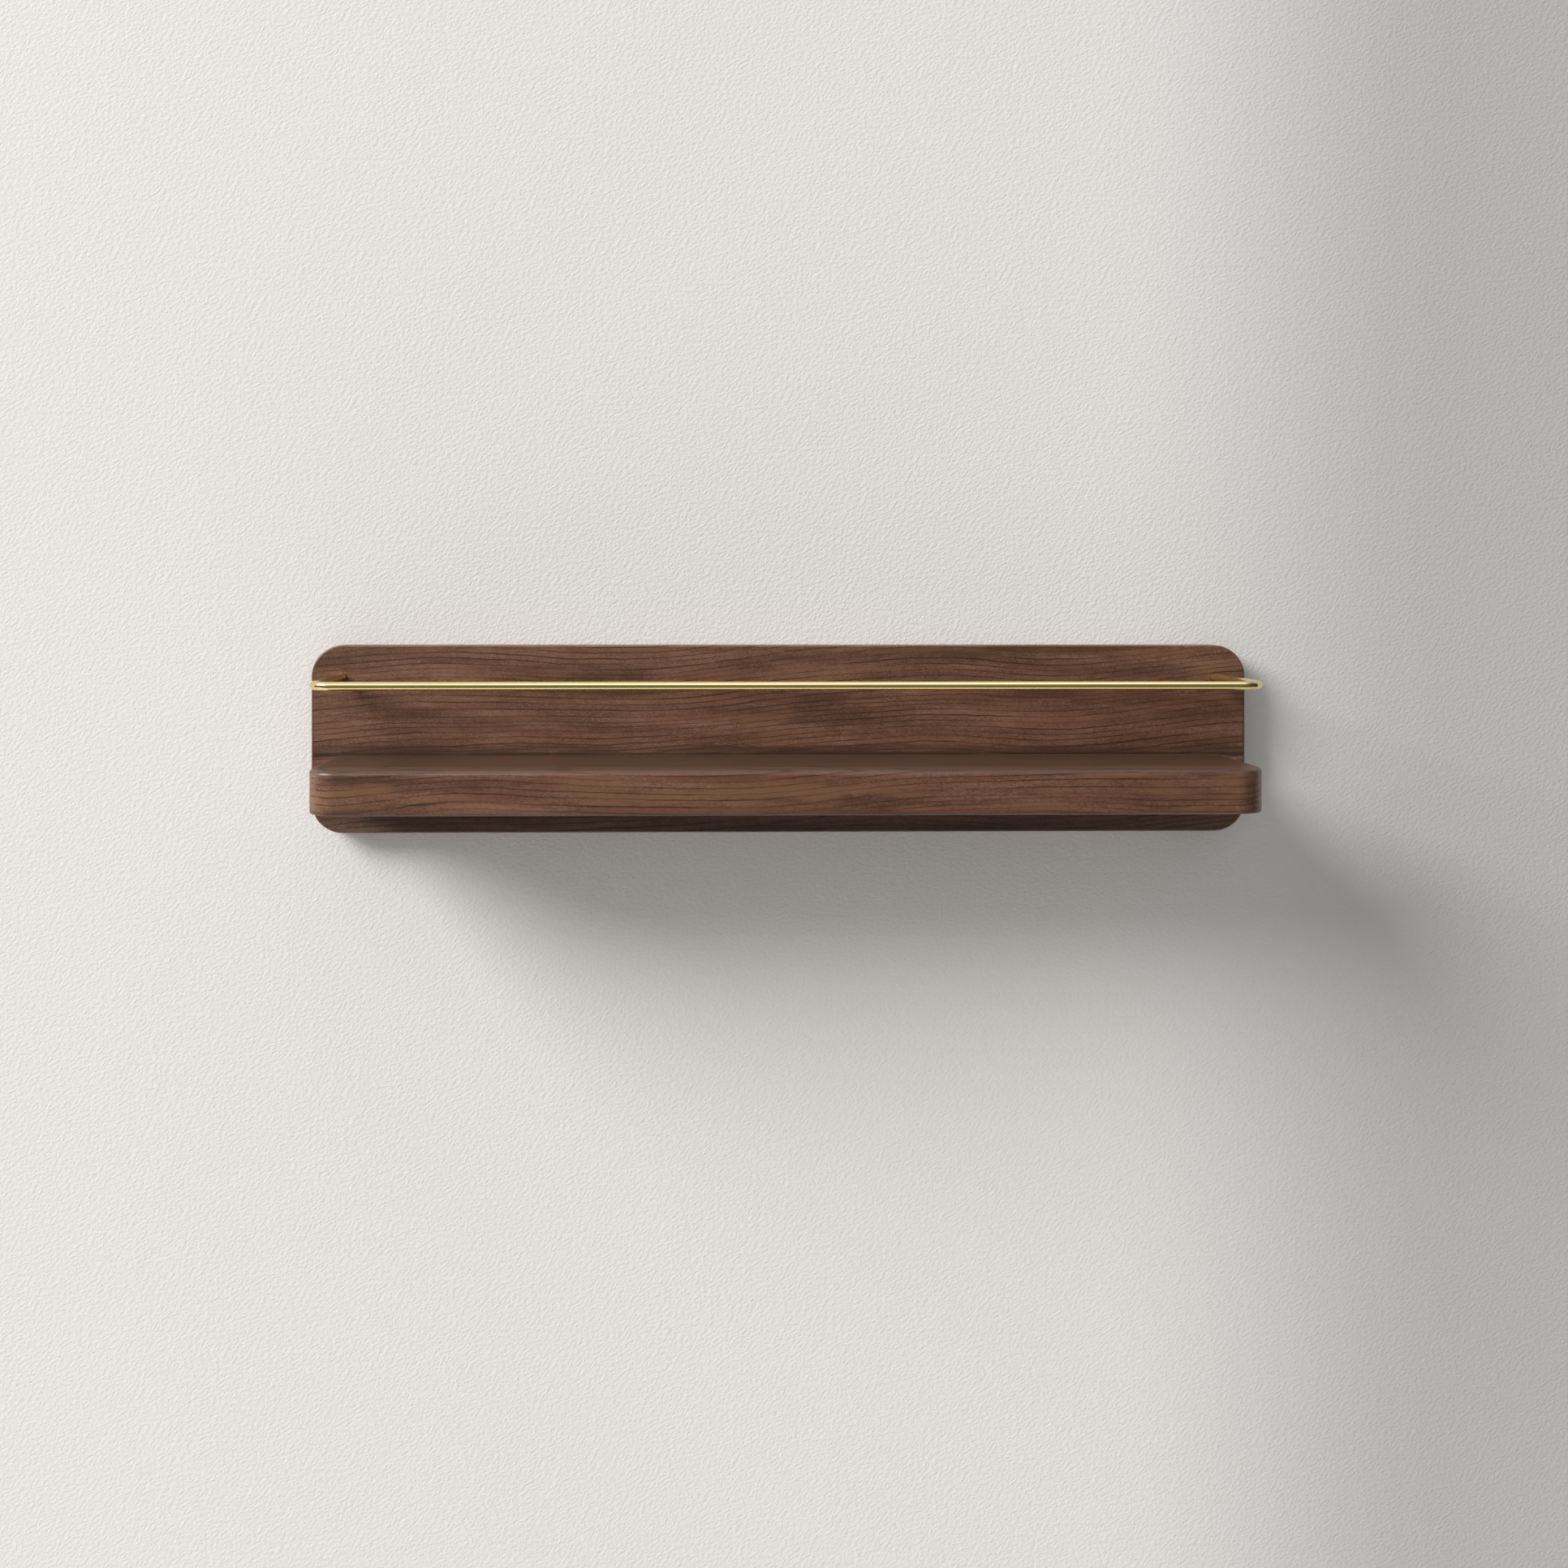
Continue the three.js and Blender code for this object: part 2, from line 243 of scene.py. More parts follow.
walnutLipping = {
    **walnutPanel,
    "pith": (-60, -420),
    "rise": 0.035,
    "swing": 2.4,
    "seed": 21.3,
    "golden": 0.8,
    "streak": None,
    # colour of the painted shade on the lipping's rounded top edge
    "paintedTopShade": linear(71, 51, 40),
    "endsAt": 280.6,
}
# the board's walnut is a darker copy of the panel's: painted shade for the ledge's top
walnutBoardShaded = {
    **walnutPanel,
    "pith": (-330, 30),
    "spacing": 3.4,
    "rise": 0.0,
    "swing": 0.8,
    "wander": 4,
    "ripple": 1.0,
    "seed": 9.1,
    "low": linear(58, 38, 26),
    "middle": linear(71, 46, 31),
    "high": linear(84, 56, 39),
    "red": linear(78, 48, 33),
    "tan": linear(83, 56, 38),
    "line": linear(44, 28, 19),
    "streak": None,
    "endsAt": 280.6,
}
walnutNoise = {  # mm along and across the grain, shift, detail, roughness
    "drift": (150, 70, 5.1, 1.0),
    "ripple": (38, 14, 8.3, 2.0),
    "tremble": (7, 2.5, 12.7, 1.0),
    "fade": (120, 5, 2.9, 2.0),
    "patches": (110, 11, 1.7, 3.0, 0.6),
    "fibre": (14, 0.5, 4.4, 2.0, 0.6),
    "speckle": (1.5, 0.7, 13.1, 2.0, 0.7),
    "pores": (3.2, 0.4, 6.6, 1.0),
    "redPatches": (75, 10, 10.3, 2.0),
    "tanPatches": (48, 9, 15.9, 2.0),
    "smudges": (26, 5, 18.2, 3.0),
    "streakEdge": (30, 9, 7.7, 3.0, 0.6),
    "streakRags": (40, 2.4, 17.3, 2.0),
}
walnutStrength = {
    "tremble": 0.55,  # mm
    "packing": 1.8,  # rings gained or lost where they crowd
    "patches": 1.2,
    "fibre": 0.42,
    "figure": 0.16,
    "speckle": 0.85,
    "red": 0.6,
    "smudges": 0.25,
    # strength of the painted shade on the lipping's rounded top edge
    "paintedTopShade": 0.7,
    # strength of the painted shade towards the lipping's bottom edge
    "bottomEdgeShade": 0.4,
    "line": 0.86,
    "pores": 0.5,
    "streakEdge": 7.0,  # mm
    # strength of the painted contact shadow along the ledge's top
    "contactShadow": 0.6,
    # strength of the painted shade on the panel below the ledge
    "shadeBelowLedge": 0.4,
    "ends": 0.85,
    "seam": 0.4,
}
walnutPolish = {
    "roughness": 0.46,
    "ior": 1.38,
    "oil": 0.45,
    "oilRoughness": 0.3,
    "relief": 0.00012,  # metres
}
endGrain = linear(104, 71, 55)


def makeWalnut(name, look):
    paint = Paint(name)
    x, y, z = paint.place()
    seed = look["seed"]
    much = walnutStrength

    def grain(kind):
        along, across, shift, *rest = walnutNoise[kind]
        vector = paint.vector(x / along + seed + shift, y / across, z / across)
        return paint.noise(vector, *rest)

    pithY, pithZ = look["pith"]
    outward = ((y - pithY) ** 2 + (z - pithZ) ** 2).root()
    drift = (grain("drift") - 0.5) * look["wander"]
    ripple = (grain("ripple") - 0.5) * look["ripple"]
    tremble = (grain("tremble") - 0.5) * much["tremble"]
    swing = (x / look["swingLength"] + seed).wave() * look["swing"]
    depth = outward - x * look["rise"] + swing + drift + ripple + tremble
    crowding = paint.vector(depth / 13, x / 700, seed)
    ring = depth / look["spacing"] + paint.noise(crowding, 1.0) * much["packing"]
    phase = ring.fraction()  # 0 at the start of a year's growth, 1 at its end
    lateWood = phase.step(0.68, 0.9) * (1 - phase.step(0.93, 1.0))
    line = lateWood * (grain("fade").step(0.38, 0.62) * 0.6 + 0.35)

    fibre = grain("fibre")
    figure = paint.noise(paint.vector(x / 5, y / 40, z / 16 + seed))
    pores = grain("pores").step(0.62, 0.72) * (phase * 0.6 + 0.4)
    tone = (grain("patches") - 0.5) * much["patches"] + 0.5
    tone = tone + (fibre - 0.5) * much["fibre"]
    tone = tone + (figure - 0.5) * much["figure"] + (grain("speckle") - 0.5) * much["speckle"]
    stops = [(0.30, look["low"]), (0.5, look["middle"]), (0.72, look["high"])]
    colour = paint.node("ShaderNodeValToRGB", {"stops": stops}, {"Fac": tone})

    def tint(mask, towards):
        return paint.mix(mask, colour, towards)

    colour = tint(grain("redPatches").step(0.5, 0.72) * much["red"], look["red"])
    colour = tint(grain("tanPatches").step(0.5, 0.7) * look["golden"], look["tan"])
    colour = tint(grain("smudges").step(0.62, 0.78) * much["smudges"], look["line"])
    # painted shade on the lipping's rounded top edge
    if look["paintedTopShade"]:
        colour = tint(z.step(-12.4, -10.8) * much["paintedTopShade"], look["paintedTopShade"])
    colour = tint(line * much["line"], look["line"])
    colour = tint(pores * much["pores"], look["line"])
    if look["streak"]:
        height, half = look["streak"]
        front = 1 - y.step(-14, -5)
        edge = (grain("streakEdge") - 0.5) * much["streakEdge"]
        streak = 1 - (z - height + edge).size().step(half * 0.75, half * 1.25)
        ragged = grain("streakRags").step(0.25, 0.6) * 0.5 + 0.2
        colour = tint(streak * ragged * front, look["streakTone"])
        contactShadow = 1 - (z + 10.0).size().step(0.7, 1.7)  # painted contact shadow along the ledge's top
        colour = tint(contactShadow * front * much["contactShadow"], look["line"])
        # painted shade on the panel below the ledge
        shadeBelowLedge = 1 - z.step(-37.0, -35.0)
        colour = tint(shadeBelowLedge * front * much["shadeBelowLedge"], look["shadeBelowLedgeTone"])
    # the lipping, which alone has the painted top shade, also gets painted shade towards its
    # bottom edge
    if look["paintedTopShade"]:
        colour = tint((1 - z.step(-34.5, -30.5)) * much["bottomEdgeShade"], look["low"])
    fromMiddle = x.size()
    ends = fromMiddle.step(look["endsAt"] - 0.25, look["endsAt"] + 0.25)
    seam = 1 - (fromMiddle - look["endsAt"] + 0.3).size().step(0.1, 0.5)
    endPores = paint.noise(paint.vector(x / 9, y / 0.4, z / 0.4), 1.0).step(0.58, 0.7)
    endColour = paint.mix(line * 0.4 + endPores * 0.4, endGrain, look["line"])
    colour = tint(ends * much["ends"], endColour)
    colour = tint(seam * much["seam"], look["line"])

    relief = fibre * 0.35 - pores * 0.8 - line * 0.25
    return paint.principled(
        Base_Color=colour,
        Roughness=(fibre - 0.5) * 0.16 + pores * 0.1 + walnutPolish["roughness"],
        IOR=walnutPolish["ior"],
        Coat_Weight=walnutPolish["oil"],
        Coat_Roughness=walnutPolish["oilRoughness"],
        Normal=paint.bump(relief, walnutPolish["relief"], 0.7),
    )


brassRod = {
    "colour": linear(244, 221, 155),
    "tarnish": linear(233, 203, 135),
}


def makeBrass():
    paint = Paint("brass")
    x, y, z = paint.place()
    cloud = paint.noise(paint.vector(x / 24, y / 24, z / 24), detail=3.0)
    scuffs = paint.noise(paint.vector(x / 5, y / 0.8, z / 0.8), detail=2.0)
    colour = paint.mix(cloud.step(0.4, 0.8) * 0.4, brassRod["colour"], brassRod["tarnish"])
    return paint.principled(
        Base_Color=colour,
        Metallic=0.95,
        Roughness=cloud * 0.05 + scuffs.step(0.6, 0.8) * 0.02 + 0.095,
    )


zincPlate = {
    "colour": linear(196, 198, 200),
    "dull": 0.72,  # share of the colour left where the zinc has clouded
    "brushed": 6,  # mm, length of the brush marks in Z
}
zincScrew = {
    **zincPlate,
    "colour": linear(206, 204, 198),
    "brushed": 0.25,
}


def makeZinc(name, look):
    paint = Paint(name)
    x, y, z = paint.place()
    cloud = paint.noise(paint.vector(x / 7, y / 7, z / 7), detail=3.0)
    brush = paint.noise(paint.vector(x / 0.25, y / 0.25, z / look["brushed"]), detail=2.0)
    dull = tuple(part * look["dull"] for part in look["colour"][:3]) + (1.0,)
    return paint.principled(
        Base_Color=paint.mix(cloud.step(0.3, 0.8), look["colour"], dull),
        Metallic=1.0,
        Roughness=cloud * 0.14 + brush * 0.1 + 0.2,
        Normal=paint.bump(brush, 0.00002, 0.5),
    )


beech = {
    "wood": linear(206, 172, 128),
    "fleck": linear(176, 138, 96),
}


def makeBeech():
    paint = Paint("beech")
    x, y, z = paint.place()
    fleck = paint.noise(paint.vector(x / 0.7, y / 4, z / 0.7), detail=2.0)
    return paint.principled(
        Base_Color=paint.mix(fleck.step(0.35, 0.7), beech["wood"], beech["fleck"]),
        Roughness=fleck * 0.1 + 0.6,
        Normal=paint.bump(fleck, 0.00005, 0.5),
    )


finishes = {
    "panel": makeWalnut("walnut_panel", walnutPanel),
    "board": makeWalnut("walnut_board_shaded", walnutBoardShaded),
    "lipping": makeWalnut("walnut_lipping", walnutLipping),
    "brass": makeBrass(),
    "plate": makeZinc("zinc_plate", zincPlate),
    "screw": makeZinc("zinc_screw", zincScrew),
    "beech": makeBeech(),
}
print("materials made:", len(finishes))


# Mesh tools

def block(low, high):
    bm = bmesh.new()
    bmesh.ops.create_cube(bm, size=1)
    bmesh.ops.scale(bm, vec=high - low, verts=bm.verts)
    bmesh.ops.translate(bm, vec=(low + high) / 2, verts=bm.verts)
    return bm


def bevel(bm, edges, radius, segments):
    bmesh.ops.bevel(
        bm, geom=edges, offset=radius, segments=segments, affect="EDGES", profile=0.5, material=-1
    )


def edgesAlong(bm, axis, keep=lambda edge: True):
    found = []
    for edge in bm.edges:
        run = edge.verts[1].co - edge.verts[0].co
        if abs(run[axis]) > 0.99 * run.length and keep(edge):
            found.append(edge)
    return found


def rimOf(bm, axis, place, skip=lambda edge: False):
    face = min(
        (f for f in bm.faces if abs(f.normal[axis]) > 0.99),
        key=lambda f: abs(f.calc_center_median()[axis] - place),
    )
    return [edge for edge in face.edges if not skip(edge)]


def turned(bm, profile, centre, steps=40):
    verts = [bm.verts.new((centre.x + radius, y, centre.z)) for radius, y in profile]
    edges = [bm.edges.new(pair) for pair in zip(verts, verts[1:])]
    bmesh.ops.spin(
        bm, geom=verts + edges, cent=(centre.x, 0, centre.z), axis=(0, 1, 0),
        angle=math.tau, steps=steps, use_merge=True,
    )
    bmesh.ops.remove_doubles(bm, verts=bm.verts, dist=1e-6)
    bmesh.ops.recalc_face_normals(bm, faces=bm.faces)


def hole(bm, radius, nearY, farY, centre):
    turned(bm, [(0, farY), (radius, farY), (radius, nearY), (0, nearY)], centre)


def meshFrom(bm, name):
    mesh = bpy.data.meshes.new(name)
    bm.to_mesh(mesh)
    bm.free()
    return mesh


def workObject(bm, name):
    obj = bpy.data.objects.new(name, meshFrom(bm, name))
    bpy.context.scene.collection.objects.link(obj)
    return obj


def discard(obj):
    mesh = obj.data
    bpy.data.objects.remove(obj)
    bpy.data.meshes.remove(mesh)


def applied(body):
    evaluated = body.evaluated_get(bpy.context.evaluated_depsgraph_get())
    result = bmesh.new()
    result.from_mesh(evaluated.to_mesh())
    evaluated.to_mesh_clear()
    discard(body)
    return result


def cut(bm, cutter):
    body = workObject(bm, "cutBody")
    tool = workObject(cutter, "cutTool")
    modifier = body.modifiers.new("cut", "BOOLEAN")
    modifier.operation = "DIFFERENCE"
    modifier.solver = "EXACT"
    modifier.object = tool
    result = applied(body)
    discard(tool)
    return result


def weightedBevel(bm, width, segments):
    body = workObject(bm, "bevelBody")
    modifier = body.modifiers.new("roundOver", "BEVEL")
    modifier.limit_method = "WEIGHT"
    modifier.width = width
    modifier.segments = segments
    modifier.use_clamp_overlap = False
    return applied(body)


def addPiece(bm, name, node, finish, sharpAngle=40):
    bmesh.ops.dissolve_degenerate(bm, edges=bm.edges, dist=1e-6)
    for face in bm.faces:
        face.smooth = True
    for edge in bm.edges:
        if len(edge.link_faces) == 2 and edge.calc_face_angle() > math.radians(sharpAngle):
            edge.smooth = False
    obj = bpy.data.objects.new(name, meshFrom(bm, name))
    bpy.context.scene.collection.objects.link(obj)
    obj.data.materials.append(finishes[finish])
    weighted = obj.modifiers.new("flatFaces", "WEIGHTED_NORMAL")
    weighted.keep_sharp = True
    weighted.weight = 100
    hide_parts(node)
    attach(obj, "root")


# Sizes of the fixings, which the bores in the boards follow too

screws = {  # radius of the shank, height of the head
    "ledge_screw": {"shank": 2 * mm, "head": 3 * mm, "countersunk": False},
    "rail_screw": {"shank": 1.4 * mm, "head": 2.2 * mm, "countersunk": False},
    "hanger_screw": {"shank": 1.5 * mm, "head": 1.5 * mm, "countersunk": True},
}
fixings = {
    "pitch": 0.8,  # shares of the shank's radius
    "threadRoot": 0.78,
    "tipFlat": 0.15,
    "tipLength": 1.6,
    "panHead": [  # shares of the head's radius and height
        (0.97, 0), (1, 0.12), (1, 0.5), (0.93, 0.75), (0.78, 0.92), (0.5, 1), (0, 1),
    ],
    "sunkRim": 0.15 * mm,
    "sunkEdge": 0.1 * mm,
    "recessDepth": 0.75,  # share of the head's height
    "recessWidth": 0.46,  # shares of the head's width
    "bladeWidth": 0.11,
    "bladeTip": 0.55,  # share of the blade's own width
    "washerHole": 1.7 * mm,
    "washerEdge": 0.12 * mm,
    "plateCorner": 4 * mm,
    "plateEdge": 0.25 * mm,
    "keyEntry": 5 * mm,
    "keySlot": 2.5 * mm,
    "keyEntryDrop": -8 * mm,
    "keySlotRise": 8 * mm,
    "sinkHole": 1.8 * mm,
    "sinkRim": 3.35 * mm,
}


# Back panel

panel = {
    "corner": 20 * mm,
    "frontEdge": 1.1 * mm,
    "backEdge": 0.7 * mm,
    "railSeat": 2.65 * mm,
    "railSeatDepth": 8 * mm,
    "screwBore": 4.85 * mm,
    "screwShank": 2.3 * mm,
    "railScrewBore": 1.7 * mm,
    "washerBore": 5.1 * mm,
    "hangerScrewBore": 1.6 * mm,
    "hangerScrewFrom": -2.0 * mm,  # Y, inside the plate's recess
    "pocket": Vector((13, 7, 28)) * mm,
    "pocketCorner": 0.48,  # share of the pocket's width
}


def roundedPlate(low, high, corner, segments):
    bm = block(low, high)
    bevel(bm, edgesAlong(bm, 1), corner, segments)
    return bm


def joinInto(bm, other):
    mesh = meshFrom(other, "joined")
    bm.from_mesh(mesh)
    bpy.data.meshes.remove(mesh)


def panelHoles():
    cutter = bmesh.new()
    for node in nodesNamed("ledge_screw"):
        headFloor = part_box(node)[1].y - screws["ledge_screw"]["head"] - clearance
        profile = [
            (0, panelLow.y - past),
            (panel["screwShank"], panelLow.y - past),
            (panel["screwShank"], headFloor),
            (panel["screwBore"], headFloor),
            (panel["screwBore"], past),
            (0, past),
        ]
        turned(cutter, profile, nodeCentre(node))
    for node in nodesNamed("rail_screw"):
        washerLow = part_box(node.replace("screw", "washer"))[0].y
        seatFloor = panelLow.y + panel["railSeatDepth"]
        floor = washerLow - clearance
        profile = [
            (0, panelLow.y - past),
            (panel["railSeat"], panelLow.y - past),
            (panel["railSeat"], seatFloor),
            (panel["railScrewBore"], seatFloor),
            (panel["railScrewBore"], floor),
            (panel["washerBore"], floor),
            (panel["washerBore"], past),
            (0, past),
        ]
        turned(cutter, profile, nodeCentre(node))
    for node in nodesNamed("dowel"):
        low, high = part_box(node)
        radius = (high.x - low.x) / 2 + clearance
        hole(cutter, radius, high.y + clearance, panelLow.y - past, nodeCentre(node))
    for node in nodesNamed("hanger_screw"):
        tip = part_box(node)[0].y
        start = panel["hangerScrewFrom"]
        hole(cutter, panel["hangerScrewBore"], start, tip - clearance, nodeCentre(node))
    return cutter


def recesses():
    cutter = bmesh.new()
    for node in nodesNamed("hanger_plate"):
        low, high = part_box(node)
        gap = Vector((clearance, clearance, clearance))
        top = high + gap
        top.y = past
        joinInto(cutter, roundedPlate(low - gap, top, fixings["plateCorner"] + clearance, 8))
    return cutter


def pockets():
    cutter = bmesh.new()
    for node in nodesNamed("hanger_plate"):
        centre = nodeCentre(node)
        size = panel["pocket"]
        half = size / 2
        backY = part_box(node)[0].y
        low = Vector((centre.x - half.x, backY - clearance - size.y, centre.z - half.z))
        high = Vector((centre.x + half.x, backY, centre.z + half.z))
        joinInto(cutter, roundedPlate(low, high, size.x * panel["pocketCorner"], 10))
    return cutter


def makePanel():
    bm = roundedPlate(panelLow, panelHigh, panel["corner"], 20)
    bevel(bm, rimOf(bm, 1, panelLow.y), panel["frontEdge"], 4)
    bevel(bm, rimOf(bm, 1, panelHigh.y), panel["backEdge"], 3)
    for cutter in (recesses(), pockets(), panelHoles()):
        bm = cut(bm, cutter)
    addPiece(bm, "panel", "back_panel", "panel")


makePanel()
print("back panel made")


# Ledge: one shape, parted into the board and its lipping

ledge = {
    "corner": 18 * mm,
    "topEdge": 3 * mm,
    "endShare": 0.42,  # the top edge's radius at the ends, as a share of that at the front
    "bottomEdge": 1.4 * mm,
    "jointEdge": 0.3 * mm,
    "backEdge": 0.4 * mm,
    "pilot": 2.2 * mm,
}


def ledgeShape():
    low = lippingLow
    high = Vector((lippingHigh.x, boardHigh.y, boardHigh.z))
    bm = block(low, high)
    front = edgesAlong(bm, 2, lambda edge: edge.verts[0].co.y < lippingHigh.y)
    bevel(bm, front, ledge["corner"], 14)

    def atBack(edge):
        return all(vert.co.y > high.y - 1e-5 for vert in edge.verts)

    bevel(bm, rimOf(bm, 2, low.z, atBack), ledge["bottomEdge"], 4)
    weights = bm.edges.layers.float.new("bevel_weight_edge")
    for edge in rimOf(bm, 2, high.z, atBack):  # the round-over shrinks round the corners
        middle = (edge.verts[0].co + edge.verts[1].co) / 2
        turn = min(1, (middle.y - low.y) / ledge["corner"])
        edge[weights] = 1 - turn * (1 - ledge["endShare"])
    return weightedBevel(bm, ledge["topEdge"], 6)


def partedAt(bm, y, keepBack):
    geometry = bm.verts[:] + bm.edges[:] + bm.faces[:]
    normal = (0, -1, 0) if keepBack else (0, 1, 0)
    made = bmesh.ops.bisect_plane(
        bm, geom=geometry, dist=1e-7, plane_co=(0, y, 0), plane_no=normal, clear_outer=True
    )
    rim = [item for item in made["geom_cut"] if isinstance(item, bmesh.types.BMEdge)]
    bmesh.ops.edgeloop_fill(bm, edges=rim)
    bmesh.ops.recalc_face_normals(bm, faces=bm.faces)
    bevel(bm, rim, ledge["jointEdge"], 2)
    return bm


def boardHoles():
    cutter = bmesh.new()
    for node in nodesNamed("ledge_screw"):
        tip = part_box(node)[0].y
        hole(cutter, ledge["pilot"], boardHigh.y + past, tip - clearance, nodeCentre(node))
    for node in nodesNamed("dowel"):
        low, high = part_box(node)
        radius = (high.x - low.x) / 2 + clearance
        hole(cutter, radius, boardHigh.y + past, low.y - clearance, nodeCentre(node))
    return cutter


def makeLedge():
    board = partedAt(ledgeShape(), boardLow.y, True)
    bevel(board, rimOf(board, 1, boardHigh.y), ledge["backEdge"], 2)
    board = cut(board, boardHoles())
    addPiece(board, "ledgeBoard", "ledge_board", "board")
    lipping = partedAt(ledgeShape(), lippingHigh.y, False)
    addPiece(lipping, "ledgeLipping", "ledge_lipping", "lipping")


makeLedge()
print("ledge made")


# Gallery rail: a circle swept out of the panel, round two bends and back

rail = {
    "bend": 12 * mm,
    "sides": 40,
    "bendSteps": 18,
}


def makeRail():
    radius = (railHigh.z - railLow.z) / 2
    height = (railHigh.z + railLow.z) / 2
    leftX = railLow.x + radius
    barY = railLow.y + radius
    bend = rail["bend"]
    bm = bmesh.new()
    turn = Matrix.Translation((leftX, railHigh.y, height)) @ Matrix.Rotation(math.pi / 2, 4, "X")
    bmesh.ops.create_circle(bm, cap_ends=True, radius=radius, segments=rail["sides"], matrix=turn)
    ring = bm.edges[:]

    def straight(ring, run):
        made = bmesh.ops.extrude_edge_only(bm, edges=ring)["geom"]
        verts = [item for item in made if isinstance(item, bmesh.types.BMVert)]
        bmesh.ops.translate(bm, vec=run, verts=verts)
        edges = [item for item in made if isinstance(item, bmesh.types.BMEdge)]
        return [edge for edge in edges if all(vert in verts for vert in edge.verts)]

    def bent(ring, centre):
        verts = list({vert for edge in ring for vert in edge.verts})
        made = bmesh.ops.spin(
            bm, geom=verts + ring, cent=centre, axis=(0, 0, 1),
            angle=math.pi / 2, steps=rail["bendSteps"], use_merge=False,
        )["geom_last"]
        return [item for item in made if isinstance(item, bmesh.types.BMEdge)]

    arm = railHigh.y - barY - bend
    ring = straight(ring, (0, -arm, 0))
    ring = bent(ring, (leftX + bend, barY + bend, height))
    ring = straight(ring, (-2 * leftX - 2 * bend, 0, 0))
    ring = bent(ring, (-leftX - bend, barY + bend, height))
    ring = straight(ring, (0, arm, 0))
    bmesh.ops.edgeloop_fill(bm, edges=ring)
    bmesh.ops.recalc_face_normals(bm, faces=bm.faces)
    addPiece(bm, "galleryRail", "gallery_rail", "brass", sharpAngle=60)


makeRail()
print("gallery rail made")


# Fixings in the back

def crossBlades(centre, topY, headWidth, depth):
    blades = []
    for across in (0, 2):
        size = Vector((headWidth * fixings["bladeWidth"],) * 3)
        size[across] = headWidth * fixings["recessWidth"]
        low = Vector((centre.x - size.x / 2, topY - depth, centre.z - size.z / 2))
        high = Vector((centre.x + size.x / 2, topY + past, centre.z + size.z / 2))
        blade = block(low, high)
        tip = [vert for vert in blade.verts if vert.co.y < topY - depth / 2]
        narrower = Matrix.Diagonal((fixings["bladeTip"], 1, fixings["bladeTip"], 1))
        shrink = Matrix.Translation(centre) @ narrower @ Matrix.Translation(-centre)
        bmesh.ops.transform(blade, matrix=shrink, verts=tip)
        blades.append(blade)
    return blades


def threadedProfile(low, underHead, shank):
    root = shank * fixings["threadRoot"]
    pitch = shank * fixings["pitch"]
    profile = [(0, low), (shank * fixings["tipFlat"], low)]
    y = low + shank * fixings["tipLength"]
    while y < underHead - pitch:
        profile += [(root, y), (shank, y + pitch * 0.5)]
        y += pitch
    return profile + [(root, y), (root, underHead)]


def makeScrew(node, size):
    low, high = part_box(node)
    centre = nodeCentre(node)
    head = (high.x - low.x) / 2
    underHead = high.y - size["head"]
    profile = threadedProfile(low.y, underHead, size["shank"])
    if size["countersunk"]:
        profile += [
            (head, high.y - fixings["sunkRim"]),
            (head - fixings["sunkEdge"], high.y),
            (0, high.y),
        ]
    else:
        profile += [
            (head * across, underHead + size["head"] * up) for across, up in fixings["panHead"]
        ]
    bm = bmesh.new()
    turned(bm, profile, centre, 36)
    for blade in crossBlades(centre, high.y, head * 2, size["head"] * fixings["recessDepth"]):
        bm = cut(bm, blade)
    addPiece(bm, node.replace("_", "-"), node, "screw", sharpAngle=35)


def makeWasher(node):
    low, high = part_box(node)
    outer = (high.x - low.x) / 2
    edge = fixings["washerEdge"]
    inner = fixings["washerHole"]
    bm = bmesh.new()
    turned(bm, [
        (inner, low.y), (outer - edge, low.y), (outer, low.y + edge), (outer, high.y - edge),
        (outer - edge, high.y), (inner + edge, high.y), (inner, high.y - edge), (inner, low.y),
    ], nodeCentre(node), 48)
    addPiece(bm, node.replace("_", "-"), node, "plate")


def makeHangerPlate(node):
    low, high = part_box(node)
    centre = nodeCentre(node)
    bm = roundedPlate(low, high, fixings["plateCorner"], 8)
    bevel(bm, rimOf(bm, 1, high.y), fixings["plateEdge"], 2)
    entry = centre + Vector((0, 0, fixings["keyEntryDrop"]))
    slotTop = centre + Vector((0, 0, fixings["keySlotRise"]))
    slotHalf = Vector((fixings["keySlot"], 0, 0))
    slot = block(
        Vector((entry.x, low.y - past, entry.z)) - slotHalf,
        Vector((slotTop.x, high.y + past, slotTop.z)) + slotHalf,
    )
    entryHole = bmesh.new()
    hole(entryHole, fixings["keyEntry"], high.y + past, low.y - past, entry)
    slotEnd = bmesh.new()
    hole(slotEnd, fixings["keySlot"], high.y + past, low.y - past, slotTop)
    for cutter in (entryHole, slot, slotEnd):
        bm = cut(bm, cutter)
    sinks = bmesh.new()
    for screw in nodesNamed(node.replace("plate", "screw")):
        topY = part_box(screw)[1].y
        turned(sinks, [
            (0, low.y - past),
            (fixings["sinkHole"], low.y - past),
            (fixings["sinkHole"], topY - screws["hanger_screw"]["head"]),
            (fixings["sinkRim"], topY),
            (fixings["sinkRim"], past),
            (0, past),
        ], nodeCentre(screw))
    addPiece(cut(bm, sinks), node.replace("_", "-"), node, "plate")


for kind, size in screws.items():
    for node in nodesNamed(kind):
        makeScrew(node, size)
for node in nodesNamed("rail_washer"):
    makeWasher(node)
for node in nodesNamed("hanger_plate"):
    makeHangerPlate(node)
for node in nodesNamed("dowel"):
    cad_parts[node].data.materials.clear()
    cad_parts[node].data.materials.append(finishes["beech"])
print("fixings made")


# Room: a wall that shows only from the front, and a pale floor

